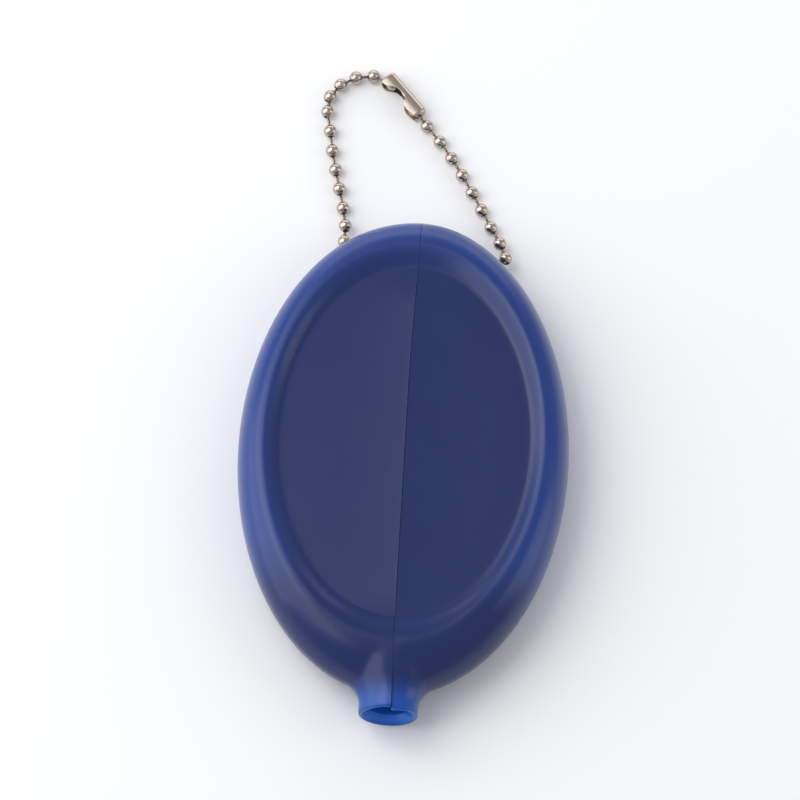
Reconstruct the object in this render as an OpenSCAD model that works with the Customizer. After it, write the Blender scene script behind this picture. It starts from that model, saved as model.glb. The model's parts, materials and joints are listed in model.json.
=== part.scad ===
// Squeeze coin purse: a moulded oval shell with a slit face and a short open neck,
// carried on a loop of ball chain that is closed by a folded clasp.
// It lies on its back: X across, Y towards the chain, Z up through the slit face.

/* [Purse body] */
// Width of the oval
body_w = 60; // [56:0.5:66]
// Length of the oval, without the neck
body_len = 91; // [86:0.5:98]
// Thickness from the back to the rim of the face
body_t = 14; // [12.5:0.5:17]
// Thickness of the moulded wall
wall_t = 1.5; // [1.2:0.1:1.8]

/* [Slit face] */
// Width of the sunk face, crest to crest of its rim
face_w = 51; // [47:0.5:53]
// Length of the sunk face, crest to crest
face_len = 76.4; // [71:0.2:80]
// How far the face's middle sits above the oval's middle
face_rise = 1.2; // [0:0.1:2]
// How deep the face lies below the rim
face_sink = 1.2; // [0.6:0.1:1.6]
// Width of the slope from the crest down to the face
slope_w = 1.8; // [1.2:0.1:2.4]
// Width of the slit between the two lips
slit_gap = 0.3; // [0.2:0.05:0.5]
// Room between a face half and the rim that it flexes from
flap_gap = 0.5; // [0.5:0.05:0.8]
// How far the slit is cut down the rim beyond the face
slit_drop = 4.5; // [3:0.5:5]

/* [Neck] */
// Outside diameter of the neck
neck_d = 10.8; // [9.5:0.1:12]
// How far the mouth stands out past the oval's end
neck_reach = 4.2; // [3.6:0.1:6]
// Radius where the neck flares into the oval
neck_fillet = 4.5; // [3.5:0.1:5]

/* [Ball chain] */
// Diameter of a bead
bead_d = 2.4; // [2.2:0.05:2.6]
// Wall of a hollow bead
bead_wall = 0.18; // [0.14:0.01:0.2]
// Diameter of the holes in a bead
bead_hole_d = 1; // [0.95:0.01:1.05]
// Distance between bead centres where the chain is taut
chain_pitch = 3.85; // [3.6:0.05:4.1]
// Diameter of a link's wire
wire_d = 0.4; // [0.3:0.01:0.4]
// Diameter of the head on each end of a link
head_d = 1.1; // [1.08:0.01:1.2]
// Thickness of a head
head_t = 0.16; // [0.12:0.01:0.18]
// How far a taut link's head sits from its bead's centre
head_seat = 0.7; // [0.66:0.01:0.72]

/* [Chain holes] */
// Distance between the two punched holes
hole_span = 28; // [25:0.5:29]
// Diameter of a punched hole
hole_d = 3; // [2.8:0.1:3.2]
// Height of the holes above the back
hole_z = 3.4; // [3.2:0.1:3.8]
// How much shorter each step of the hidden run is than a taut one
inner_slack = 0.05; // [0.05:0.01:0.15]
// Room under the hidden run where it lies over the back wall
inner_room = 0.05; // [0.05:0.01:0.2]

/* [Clasp] */
// Length of the clasp
clasp_len = 9.7; // [9.5:0.1:10.5]
// Thickness of its folded sheet
sheet_t = 0.25; // [0.2:0.01:0.3]
// Room round a bead inside the clasp
bead_room = 0.08; // [0.05:0.01:0.12]
// Radius of the bends along the spine
bend_r = 0.9; // [0.7:0.05:1.1]
// Radius of the waist cut in the open side
waist_r = 1.9; // [1.5:0.1:2.1]
// How far outside the open side the waist cut is centred
waist_out = 0.28; // [0.2:0.02:0.5]
// Place of the waist cut along the clasp, from its middle towards the left bead
waist_at = 0.8; // [0.4:0.1:1]
// Width of the slot that a link leaves by
link_slot = 0.9; // [0.7:0.05:1]
// How far an end bead sits in from its end of the clasp
seat_back = 0.15; // [0.1:0.01:0.2]
// Angle of the clasp as it lies
clasp_turn = 132; // [126:1:138]

/* [Hidden] */

vinyl = "royalblue";
nickel = "silver";

// Half sizes of the oval, the face and the window that the face halves fill
half_w = body_w / 2;
half_len = body_len / 2;
mid_z = body_t / 2;
face_a = face_w / 2;
face_b = face_len / 2;
window_share = 1 - slope_w / face_a;
window_a = face_a * window_share;
window_b = face_b * window_share;
face_top = body_t - face_sink;
face_bottom = face_top - wall_t;
neck_r = neck_d / 2;
mouth_y = -half_len - neck_reach;

// How finely the shell is divided: round the oval, round a fillet, over the rim, down the slope
oval_steps = 26;
fillet_steps = 6;
rim_steps = 6;
slope_steps = 3;
// and from the rim to the axis behind
back_steps = 2;
// Where a section has no crest, its rim rows stop at this share of its reach
rim_share = 0.86;
// A cut runs this far past the face that it opens
past = 1;
// Least lean of a section towards the axis, for the lip's offset, and the fillet's halvings
least_lean = 0.02;
halvings = 30;

bead_r = bead_d / 2;
link_len = chain_pitch - 2 * head_seat;

function unit(v) = v / norm(v);
function smooth(t) = let (c = max(0, min(1, t))) c * c * (3 - 2 * c);
function mix(a, b, t) = a + (b - a) * t;

// The oval, by the angle t from its neck end to its chain end, and its outward normal
function oval_point(t) = [half_w * sin(t), -half_len * cos(t)];
function oval_slope(t) = [sin(t) / half_w, -cos(t) / half_len];

// The fillet's circle touches the neck's side and the oval: its angle on the oval, by halving
function fillet_x(t) = oval_point(t)[0] + neck_fillet * unit(oval_slope(t))[0];
function find_touch(lo, hi, left) =
    let (t = (lo + hi) / 2)
    left == 0 ? t
    : fillet_x(t) < neck_r + neck_fillet ? find_touch(t, hi, left - 1)
    : find_touch(lo, t, left - 1);
touch_angle = find_touch(0, 90, halvings);
fillet_centre = oval_point(touch_angle) + neck_fillet * unit(oval_slope(touch_angle));
touch_turn = asin(-unit(oval_slope(touch_angle))[1]);

// A station on the right half of the outline: point, outward normal, reach to the axis
function oval_station(t) =
    [oval_point(t), unit(oval_slope(t)), half_w * half_w * norm(oval_slope(t))];
function fillet_station(turn) =
    let (n = [cos(turn), -sin(turn)], p = fillet_centre - neck_fillet * n)
    [p, n, p[0] / n[0]];
function neck_station(y) = [[neck_r, y], [1, 0], neck_r];

// Stations from the mouth up to the chain end
STATIONS = concat(
    [neck_station(mouth_y)],
    [for (k = [0 : fillet_steps - 1]) fillet_station(touch_turn * k / fillet_steps)],
    [for (k = [0 : oval_steps]) oval_station(mix(touch_angle, 180, k / oval_steps))]
);

// Where an inward ray from a station meets the face's oval, scaled by share, or misses it
function ray_to_face(st, share) =
    let (
        a = face_a * share,
        b = face_b * share,
        p = st[0] - [0, face_rise],
        d = -st[1],
        qa = pow(d[0] / a, 2) + pow(d[1] / b, 2),
        qb = 2 * (p[0] * d[0] / (a * a) + p[1] * d[1] / (b * b)),
        qc = pow(p[0] / a, 2) + pow(p[1] / b, 2) - 1,
        disc = qb * qb - 4 * qa * qc
    )
    disc < 0 ? st[2] : min(st[2], (-qb - sqrt(disc)) / (2 * qa));

// Height of the crest over the middle: the body's, easing down to the neck's
face_foot = face_rise - face_b;
function crest_height(st) =
    let (axis_y = st[0][1] - st[1][1] * st[2])
    mix(mid_z, neck_r, smooth((face_foot - axis_y) / (face_foot - fillet_centre[1])));

// How deep the face lies at a place
function sink_at(p) =
    let (ring = norm([p[0] / face_a, (p[1] - face_rise) / face_b]))
    face_sink * smooth((1 - ring) / (1 - window_share));

// How far a section's front reaches in from the outline: to the window, or to the slit's lip
function front_reach(st) =
    min(ray_to_face(st, window_share), st[2] - slit_gap / 2 / max(least_lean, st[1][0]));

// Distances in from the outline over the rim and down the slope, for a surface that lies
// inset inside the outer one
function rim_rows(st, reach, inset) =
    let (rim = min(ray_to_face(st, 1), rim_share * reach))
    [for (k = [0 : rim_steps]) mix(inset, rim, 1 - cos(90 * k / rim_steps))];
function inner_rows(st, reach, steps) =
    let (rim = min(ray_to_face(st, 1), rim_share * reach))
    [for (k = [1 : steps]) mix(rim, reach, k / steps)];
function section_height(st, s, inset) =
    let (crest = ray_to_face(st, 1), lean = max(0, (crest - s) / (crest - inset)))
    (crest_height(st) - inset) * sqrt(max(0, 1 - lean * lean));

// Points of one section: from its front edge out over the rim and back to the axis behind
function section(st, inset) =
    let (
        reach = front_reach(st),
        front = concat(rim_rows(st, reach, inset), inner_rows(st, reach, slope_steps)),
        back = concat(rim_rows(st, st[2], inset), inner_rows(st, st[2], back_steps))
    )
    concat(
        [for (k = [len(front) - 1 : -1 : 0])
            let (p = st[0] - front[k] * st[1])
            [p[0], p[1], mid_z + section_height(st, front[k], inset) - sink_at(p)]],
        [for (k = [1 : len(back) - 1])
            let (p = st[0] - back[k] * st[1])
            [p[0], p[1], mid_z - section_height(st, back[k], inset)]]
    );

// The shell as one closed body. It has an outer and an inner skin on the right and on the
// left, which share the axis behind and, below the slit, the section at the chain end.
module moulded_shell() {
    rings = [for (inset = [0, wall_t]) [for (st = STATIONS) section(st, inset)]];
    n = len(rings[0]) - 1;
    m = len(rings[0][0]) - 1;
    low_turn = asin((body_t - slit_drop - mid_z) / mid_z);
    parted = slope_steps + rim_steps - ceil(rim_steps * low_turn / 90);
    function place(skin, side, i, j) =
        let (p = rings[skin][i][j])
        j == m || (i == n && j > parted) ? [0, p[1], p[2]]
        : i == n ? [side * slit_gap / 2, p[1], p[2]]
        : [side * p[0], p[1], p[2]];
    function at(skin, side, i, j) =
        let (own = side < 0 && j < m && (i < n || j <= parted))
        ((skin + (own ? 2 : 0)) * (n + 1) + i) * (m + 1) + j;
    function quad(a, b, c, d, turn) = turn > 0 ? [[a, b, c], [a, c, d]] : [[a, c, b], [a, d, c]];
    function skin_quad(skin, side, i, j) =
        quad(at(skin, side, i, j), at(skin, side, i, j + 1),
             at(skin, side, i + 1, j + 1), at(skin, side, i + 1, j),
             side * (skin == 0 ? 1 : -1));
    function front_edge(side, i) =
        quad(at(0, side, i, 0), at(0, side, i + 1, 0),
             at(1, side, i + 1, 0), at(1, side, i, 0), side);
    function mouth_edge(side, j) =
        quad(at(0, side, 0, j), at(1, side, 0, j),
             at(1, side, 0, j + 1), at(0, side, 0, j + 1), side);
    function slit_wall(side, j) =
        quad(at(0, side, n, j), at(0, side, n, j + 1),
             at(1, side, n, j + 1), at(1, side, n, j), side);
    points = [
        for (side = [1, -1], skin = [0, 1], i = [0 : n], j = [0 : m]) place(skin, side, i, j)
    ];
    faces = [
        for (side = [1, -1]) each [
            for (skin = [0, 1], i = [0 : n - 1], j = [0 : m - 1]) each skin_quad(skin, side, i, j),
            for (i = [0 : n - 1]) each front_edge(side, i),
            for (j = [0 : m - 1]) each mouth_edge(side, j),
            for (j = [0 : parted]) each slit_wall(side, j)
        ]
    ];
    polyhedron(points = points, faces = faces);
}

function face_oval(a, b, steps = 72) =
    [for (k = [0 : steps - 1]) [a * cos(360 * k / steps), face_rise + b * sin(360 * k / steps)]];

// The chain: where each bead lies, seen from above and measured from the line of the holes.
// The left strand runs from the clasp down to the hole, the right one from the clasp too.
LEFT_STRAND = [
    [-9.6, 37], [-12.8, 36.5], [-15.5, 34.9], [-17.3, 32.5], [-17.6, 29.5], [-16.9, 25.7],
    [-16.3, 21.9], [-15.5, 18.2], [-14.6, 14.5], [-13.7, 10.8], [-13.1, 7.1], [-13.1, 3.7]
];
RIGHT_STRAND = [
    [0.7, 27.8], [3.2, 24.9], [5.5, 21.8], [7.6, 18.6], [9.6, 15.3], [11.5, 12],
    [13.4, 8.7], [15.2, 5.4], [16.4, 2.3]
];
// The sizes that those places were laid out for
LAID_PITCH = 3.85;
LAID_SPAN = 28;
CLASP_MIDDLE = [-3.9, 33.2];
INNER_BEADS = 7;
// Out of a hole, the chain comes down to what it lies on over this many beads
LANDING_BEADS = 3;

// The punched holes: their place on the outline, their outward direction, their bead's place
hole_x = hole_span / 2;
hole_turn = 180 - asin(hole_x / half_w);
hole_out = unit(oval_slope(hole_turn));
hole_edge = oval_point(hole_turn);
hole_station = oval_station(hole_turn);
hole_depth = ray_to_face(hole_station, 1) * (1 - sqrt(1 - pow((mid_z - hole_z) / mid_z, 2)));
hole_bead = hole_edge - hole_depth * hole_out;

// The purse lies so that the whole object, chain included, is centred on the origin
clasp_half_w = bead_r + bead_room + sheet_t;
clasp_place = [strand_x(CLASP_MIDDLE[0], 1), hole_bead[1] + strand_y(CLASP_MIDDLE[1])];
clasp_top = clasp_place[1] + clasp_len / 2 * sin(clasp_turn)
    + clasp_half_w * abs(cos(clasp_turn));
chain_top = max(
    clasp_top,
    hole_bead[1] + max([for (p = LEFT_STRAND) strand_y(p[1])]) + bead_r
);
body_y = -(chain_top + mouth_y) / 2;

// A strand's places follow the span of the holes at the purse and the pitch at the clasp
function strand_x(x, share) = x * mix(hole_span / LAID_SPAN, chain_pitch / LAID_PITCH, share);
function strand_y(y) = y * chain_pitch / LAID_PITCH;
function strand_bead(list, k) =
    let (from_hole = len(list) - k)
    [
        strand_x(list[k][0], from_hole / (len(list) + 1)),
        hole_bead[1] + strand_y(list[k][1]),
        bead_r + max(0, 1 - from_hole / LANDING_BEADS) * (hole_z - bead_r)
    ];
function clasp_bead(side) = [
    clasp_place[0] + side * clasp_seat * cos(clasp_turn),
    clasp_place[1] + side * clasp_seat * sin(clasp_turn),
    clasp_half_w
];
clasp_seat = clasp_len / 2 - sheet_t - seat_back - bead_r;

// The hidden run hangs from hole to hole in equal steps along an arc, over the back wall.
// The arc's half angle is found by halving, like the fillet's.
inner_reach = bead_r + inner_room;
inner_z = wall_t + inner_reach;
inner_links = INNER_BEADS + 1;
inner_step = chain_pitch - inner_slack;
function find_arc(lo, hi, left) =
    let (t = (lo + hi) / 2)
    left == 0 ? t
    : inner_step * sin(t) / sin(t / inner_links) > 2 * hole_bead[0] ? find_arc(t, hi, left - 1)
    : find_arc(lo, t, left - 1);
inner_arc = find_arc(0, 90, halvings);
inner_r = hole_bead[0] / sin(inner_arc);

// The station whose inward ray passes over a place in the chain end's right quarter
function station_over(p, lo = 90, hi = 180, left = halvings) =
    let (t = (lo + hi) / 2, gap = p - oval_point(t), n = oval_slope(t))
    left == 0 ? oval_station(t)
    : n[0] * gap[1] > n[1] * gap[0] ? station_over(p, t, hi, left - 1)
    : station_over(p, lo, t, left - 1);

// Height of a bead that rests on the inner skin, where the rim curves up from the back wall
function rest_z(p) =
    let (
        st = station_over(p),
        depth = norm(p - st[0]),
        skin = [for (s = rim_rows(st, st[2], wall_t))
            [s, mid_z - section_height(st, s, wall_t)]]
    )
    max([for (turn = [-90 : 5 : 90])
        lookup(depth + inner_reach * sin(turn), skin) + inner_reach * cos(turn)]);

function inner_bead(k) =
    let (
        turn = inner_arc * (2 * (k + 1) / inner_links - 1),
        from_hole = min(k + 1, INNER_BEADS - k),
        x = inner_r * sin(turn),
        y = hole_bead[1] - inner_r * (cos(turn) - cos(inner_arc)),
        hung = mix(hole_z, inner_z, min(1, from_hole / LANDING_BEADS))
    )
    [x, y, max(hung, rest_z([abs(x), y]))];

// All beads in their order along the chain, from the clasp's left bead to its right one
BEADS = concat(
    [clasp_bead(1)],
    [for (k = [0 : len(LEFT_STRAND) - 1]) strand_bead(LEFT_STRAND, k)],
    [[-hole_bead[0], hole_bead[1], hole_z]],
    [for (k = [0 : INNER_BEADS - 1]) inner_bead(k)],
    [[hole_bead[0], hole_bead[1], hole_z]],
    [for (k = [len(RIGHT_STRAND) - 1 : -1 : 0]) strand_bead(RIGHT_STRAND, k)],
    [clasp_bead(-1)]
);
LEFT_HOLE_BEAD = len(LEFT_STRAND) + 2;
RIGHT_HOLE_BEAD = LEFT_HOLE_BEAD + INNER_BEADS + 1;

function bead_at(k) = BEADS[k - 1];

module aim(d) {
    rotate([0, acos(d[2] / norm(d)), atan2(d[1], d[0])])
        children();
}

// One hollow bead, with a hole towards each neighbour. An end bead's second hole is empty.
// Its spheres are turned so that their seam stays clear of both holes.
module bead(k) {
    here = bead_at(k);
    before = k == 1 ? here + clasp_bead(-1) - clasp_bead(1) : bead_at(k - 1);
    after = k == len(BEADS) ? here + clasp_bead(1) - clasp_bead(-1) : bead_at(k + 1);
    aside = atan2(after[0] - before[0], before[1] - after[1]);
    color(nickel)
        translate(here + [0, body_y, 0])
        difference() {
            rotate([0, 0, aside])
                sphere(r = bead_r, $fn = 48);
            rotate([0, 0, aside])
                sphere(r = bead_r - bead_wall, $fn = 48);
            for (next = [before, after])
                aim(next - here)
                    translate([0, 0, bead_r / 2])
                    cylinder(d = bead_hole_d, h = bead_r, $fn = 32);
        }
}

// One link from bead k to the next: a wire with a flat head inside each bead
module link(k) {
    from = bead_at(k);
    way = bead_at(k + 1) - from;
    translate(from + [0, body_y, 0])
        aim(way)
        translate([0, 0, (norm(way) - link_len) / 2]) {
            cylinder(d = wire_d, h = link_len, $fn = 24);
            for (end = [0, link_len])
                translate([0, 0, end - head_t / 2])
                    cylinder(d = head_d, h = head_t, $fn = 32);
        }
}

// The links of one fold of the loop: one on the left strand and one on the right
module links_tier(t) {
    color(nickel) {
        link(LEFT_HOLE_BEAD - t);
        link(RIGHT_HOLE_BEAD + t - 1);
    }
}

module links_in_purse() {
    color(nickel)
        for (k = [LEFT_HOLE_BEAD : RIGHT_HOLE_BEAD - 1])
            link(k);
}

// The links beyond the last fold, round the top of the loop and into the clasp
module links_at_clasp() {
    color(nickel) {
        for (k = [1 : LEFT_HOLE_BEAD - len(RIGHT_STRAND) - 1])
            link(k);
        link(len(BEADS) - 1);
    }
}

// The clasp's folded sheet seen along its length, grown or shrunk by a sheet's thickness
module clasp_profile(grow) {
    half = clasp_half_w + grow;
    r = bend_r + grow;
    translate([-half, -half])
        square([2 * half - r, 2 * half]);
    translate([0, r - half])
        square([half, 2 * (half - r)]);
    for (side = [-1, 1])
        translate([half - r, side * (half - r)])
            circle(r = r, $fn = 48);
}

// The clasp: a folded channel with closed ends, open along one side, cut to a waist there,
// and slotted at both ends for the links
module chain_clasp() {
    room = clasp_half_w - sheet_t;
    hollow = clasp_len - 2 * sheet_t;
    color(nickel)
        translate([clasp_place[0], clasp_place[1] + body_y, clasp_half_w])
        rotate([0, 0, clasp_turn])
        difference() {
            rotate([90, 0, -90])
                linear_extrude(clasp_len, center = true)
                clasp_profile(0);
            rotate([90, 0, -90])
                linear_extrude(hollow, center = true)
                clasp_profile(-sheet_t);
            translate([-hollow / 2, 0, -room])
                cube([hollow, clasp_half_w + past, 2 * room]);
            translate([-clasp_len, -link_slot / 2, -link_slot / 2])
                cube([2 * clasp_len, 2 * clasp_half_w, link_slot]);
            translate([waist_at, clasp_half_w + waist_out, 0])
                cylinder(r = waist_r, h = 2 * (clasp_half_w + past), center = true, $fn = 64);
        }
}

module purse_shell() {
    color(vinyl)
        translate([0, body_y, 0])
        difference() {
            moulded_shell();
            for (side = [-1, 1])
                translate([side * hole_bead[0], hole_bead[1], hole_z])
                    aim([side * hole_out[0], hole_out[1], 0])
                    cylinder(d = hole_d, h = 4 * wall_t, center = true, $fn = 48);
        }
}

// One half of the slit face, cut along the middle and free of the rim
module face_half(side) {
    color(vinyl)
        translate([0, body_y, face_bottom])
        linear_extrude(wall_t)
        intersection() {
            polygon(face_oval(window_a - flap_gap, window_b - flap_gap));
            translate([side > 0 ? slit_gap / 2 : -body_w - slit_gap / 2, -body_len])
                square([body_w, 2 * body_len]);
        }
}

module left_face_half() {
    face_half(-1);
}

module right_face_half() {
    face_half(1);
}

purse_shell();
left_face_half();
right_face_half();
chain_clasp();
bead(1);  // bead_01
bead(2);  // bead_02
bead(3);  // bead_03
bead(4);  // bead_04
bead(5);  // bead_05
bead(6);  // bead_06
bead(7);  // bead_07
bead(8);  // bead_08
bead(9);  // bead_09
bead(10);  // bead_10
bead(11);  // bead_11
bead(12);  // bead_12
bead(13);  // bead_13
bead(14);  // bead_14
bead(15);  // bead_15
bead(16);  // bead_16
bead(17);  // bead_17
bead(18);  // bead_18
bead(19);  // bead_19
bead(20);  // bead_20
bead(21);  // bead_21
bead(22);  // bead_22
bead(23);  // bead_23
bead(24);  // bead_24
bead(25);  // bead_25
bead(26);  // bead_26
bead(27);  // bead_27
bead(28);  // bead_28
bead(29);  // bead_29
bead(30);  // bead_30
bead(31);  // bead_31
bead(32);  // bead_32
links_in_purse();
links_tier(1);  // links_tier_01
links_tier(2);  // links_tier_02
links_tier(3);  // links_tier_03
links_tier(4);  // links_tier_04
links_tier(5);  // links_tier_05
links_tier(6);  // links_tier_06
links_tier(7);  // links_tier_07
links_tier(8);  // links_tier_08
links_tier(9);  // links_tier_09
links_at_clasp();
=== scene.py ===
"""Looks of the squeeze coin purse: moulded vinyl shell with a slit face, nickel ball chain and clasp.

Lengths are in millimetres inside the builders and in metres in the scene.
"""

import json
import math

import bpy
import numpy as np
from bpy.props import FloatProperty, FloatVectorProperty, IntProperty, PointerProperty
from mathutils import Matrix, Vector


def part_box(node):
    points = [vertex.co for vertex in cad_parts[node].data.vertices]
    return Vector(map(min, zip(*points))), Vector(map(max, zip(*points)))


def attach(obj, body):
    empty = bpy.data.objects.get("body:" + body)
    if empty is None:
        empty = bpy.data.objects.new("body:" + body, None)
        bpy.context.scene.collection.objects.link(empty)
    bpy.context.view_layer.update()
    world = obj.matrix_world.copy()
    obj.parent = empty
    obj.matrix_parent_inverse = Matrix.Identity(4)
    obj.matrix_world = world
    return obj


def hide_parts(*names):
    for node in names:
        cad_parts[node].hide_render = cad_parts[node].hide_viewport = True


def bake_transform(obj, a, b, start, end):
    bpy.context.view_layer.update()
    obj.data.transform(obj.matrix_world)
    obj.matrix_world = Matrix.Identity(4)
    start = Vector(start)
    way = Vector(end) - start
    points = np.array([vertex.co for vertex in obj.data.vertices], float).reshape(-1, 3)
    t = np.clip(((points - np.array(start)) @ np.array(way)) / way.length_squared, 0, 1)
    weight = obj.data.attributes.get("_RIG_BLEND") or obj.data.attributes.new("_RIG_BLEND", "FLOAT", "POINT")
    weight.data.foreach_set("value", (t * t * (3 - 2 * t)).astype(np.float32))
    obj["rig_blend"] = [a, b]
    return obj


bl_info = {
    "name": "Squeeze coin purse",
    "version": (1, 0, 0),
    "blender": (4, 5, 0),
    "location": "View3D > Sidebar > Coin purse",
    "description": "Dresses the packed coin purse in vinyl and nickel",
    "category": "Object",
}

MM = 0.001
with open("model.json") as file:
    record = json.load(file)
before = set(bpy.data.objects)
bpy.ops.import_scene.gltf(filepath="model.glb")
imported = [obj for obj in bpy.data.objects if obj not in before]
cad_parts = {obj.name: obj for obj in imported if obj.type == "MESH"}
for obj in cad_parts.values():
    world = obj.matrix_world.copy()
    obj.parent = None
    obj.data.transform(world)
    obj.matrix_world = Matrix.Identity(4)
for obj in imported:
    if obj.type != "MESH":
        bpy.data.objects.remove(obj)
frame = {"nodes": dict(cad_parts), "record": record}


# ---- settings ----


class ShellSettings(bpy.types.PropertyGroup):
    wall: FloatProperty(
        name="Wall", description="Thickness of the moulded wall", default=0.0015, unit="LENGTH"
    )
    lip_gap: FloatProperty(
        name="Lip gap",
        description="Distance of each lip from the slit's middle",
        default=0.00001, unit="LENGTH",
    )
    lip_round: FloatProperty(
        name="Lip rounding", description="Radius of the rounded lip edges", default=0.00006, unit="LENGTH"
    )
    left_proud: FloatProperty(
        name="Left lip rise", description="How far the left lip stands proud", default=0.00042, unit="LENGTH"
    )
    right_tuck: FloatProperty(
        name="Right lip tuck",
        description="How far the right neck lip is tucked in",
        default=0.0006, unit="LENGTH",
    )
    colour: FloatVectorProperty(
        name="Vinyl",
        description="Body colour of the vinyl",
        subtype="COLOR", size=3, default=(0.0075, 0.019, 0.105),
    )
    glow: FloatVectorProperty(
        name="Thin vinyl",
        description="Colour where light comes through the thin neck",
        subtype="COLOR",
        size=3,
        default=(0.006, 0.062, 0.33),
    )
    # Painted light: a bright colour inside the mouth for the light that comes through the neck's wall
    painted_bore_light: FloatVectorProperty(
        name="Bore painted light",
        description="Colour inside the mouth",
        subtype="COLOR", size=3, default=(0.015, 0.17, 0.68),
    )
    rim: FloatVectorProperty(
        name="Rim vinyl",
        description="Colour of the hollow rim, which light comes through",
        subtype="COLOR",
        size=3,
        default=(0.014, 0.044, 0.22),
    )
    gloss: FloatProperty(
        name="Roughness", description="Roughness of the vinyl", default=0.33, min=0.02, max=1.0
    )


class ChainSettings(bpy.types.PropertyGroup):
    bead_radius: FloatProperty(
        name="Bead radius", description="Radius of a bead", default=0.0012, unit="LENGTH"
    )
    seam: FloatProperty(
        name="Seam depth", description="Depth of a bead's seam", default=0.00005, unit="LENGTH"
    )
    seed: IntProperty(name="Seed", description="Seed of the beads' spin", default=7)
    sheet: FloatProperty(
        name="Clasp sheet", description="Thickness of the clasp's sheet", default=0.00025, unit="LENGTH"
    )
    colour: FloatVectorProperty(
        name="Nickel",
        description="Colour of the plating",
        subtype="COLOR", size=3, default=(0.50, 0.425, 0.36),
    )


class StageSettings(bpy.types.PropertyGroup):
    elevation: FloatProperty(
        name="Elevation",
        description="Camera's height above the table",
        default=math.radians(69), subtype="ANGLE",
    )
    roll: FloatProperty(name="Roll", description="Camera's roll", default=math.radians(3.45), subtype="ANGLE")
    distance: FloatProperty(name="Distance", description="Camera's distance", default=4.0, unit="LENGTH")
    span: FloatProperty(
        name="Span", description="Width that the picture shows", default=0.1452, unit="LENGTH"
    )
    key: FloatProperty(name="Key light", description="Power of the large light on the left", default=3.7)
    fill: FloatProperty(name="Fill light", description="Power of each smaller light", default=2.3)


# ---- small helpers ----


def smooth(t):
    t = np.clip(t, 0.0, 1.0)
    return t * t * (3 - 2 * t)


def unit(v):
    v = np.asarray(v, float)
    return v / np.linalg.norm(v)


def halve(lo, hi, high):
    """The place between lo and hi where high() turns from false to true."""
    for _ in range(48):
        mid = (lo + hi) / 2
        lo, hi = (lo, mid) if high(mid) else (mid, hi)
    return (lo + hi) / 2


def new_object(name, verts, faces, normals=None, material=None):
    mesh = bpy.data.meshes.new(name)
    mesh.from_pydata([tuple(v) for v in verts], [], [tuple(int(i) for i in f) for f in faces])
    mesh.polygons.foreach_set("use_smooth", [True] * len(mesh.polygons))
    if material is not None:
        mesh.materials.append(material)
    if normals is not None:
        mesh.normals_split_custom_set_from_vertices([tuple(n) for n in normals])
    mesh.update()
    obj = bpy.data.objects.new(name, mesh)
    bpy.context.scene.collection.objects.link(obj)
    return obj


# ---- shader groups ----

# Heights in metres of the vinyl's slow waves, its grain and its hairlines, which are grooves
GRAIN_HEIGHTS = (0.00030, 0.0000045, -0.0000030)


def new_socket(tree, label, kind, way):
    return tree.interface.new_socket(name=label, in_out=way, socket_type=f"NodeSocket{kind}")


def group(name, inputs, output, kind):
    """A shader group with one output. inputs gives each input's kind and value."""
    tree = bpy.data.node_groups.new(name, "ShaderNodeTree")
    for label, (own_kind, value) in inputs.items():
        new_socket(tree, label, own_kind, "INPUT").default_value = value
    new_socket(tree, output, kind, "OUTPUT")
    return tree, tree.nodes.new("NodeGroupInput"), tree.nodes.new("NodeGroupOutput")


def add(tree, kind, **settings):
    """A new node. Each setting is one of its properties or, with spaces for underscores, of its inputs."""
    node = tree.nodes.new(kind)
    for key, value in settings.items():
        if hasattr(node, key):
            setattr(node, key, value)
        else:
            node.inputs[key.replace("_", " ")].default_value = value
    return node


def maths(tree, kind, operation, *sources, **settings):
    """A maths node whose inputs are the sources, each a socket or a plain value."""
    node = add(tree, f"ShaderNode{kind}", operation=operation, **settings)
    for socket, source in zip(node.inputs, sources):
        if isinstance(source, bpy.types.NodeSocket):
            tree.links.new(source, socket)
        else:
            socket.default_value = source
    return node.outputs["Value"] if operation == "LENGTH" or kind == "Math" else node.outputs[0]


def grain_group(name):
    """Slow waves of the moulding, fine grain and a few long hairlines, as one height in metres."""
    labels = ("Waves", "Grain", "Hairlines")
    tree, enter, leave = group(name, {label: ("Float", 1.0) for label in labels}, "Height", "Float")
    link = tree.links.new
    place = add(tree, "ShaderNodeTexCoord").outputs["Object"]
    slow = add(tree, "ShaderNodeTexNoise", Scale=95.0, Detail=2.0)
    fine = add(tree, "ShaderNodeTexNoise", Scale=2600.0, Detail=3.0)
    stretch = add(tree, "ShaderNodeMapping")
    stretch.inputs["Scale"].default_value = (1.0, 0.05, 1.0)
    stretch.inputs["Rotation"].default_value = (0.0, 0.0, 0.6)
    hair = add(tree, "ShaderNodeTexNoise", Scale=1500.0, Detail=1.0)
    thin = add(tree, "ShaderNodeMapRange", From_Min=0.66, From_Max=0.72)
    for node in (slow, fine, stretch):
        link(place, node.inputs["Vector"])
    link(stretch.outputs["Vector"], hair.inputs["Vector"])
    link(hair.outputs["Fac"], thin.inputs["Value"])
    sources = (slow.outputs["Fac"], fine.outputs["Fac"], thin.outputs["Result"])
    height = None
    for source, label, size in zip(sources, labels, GRAIN_HEIGHTS):
        part = maths(tree, "Math", "MULTIPLY", source, size)
        part = maths(tree, "Math", "MULTIPLY", part, enter.outputs[label])
        height = part if height is None else maths(tree, "Math", "ADD", height, part)
    link(height, leave.inputs["Height"])
    return tree


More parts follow.
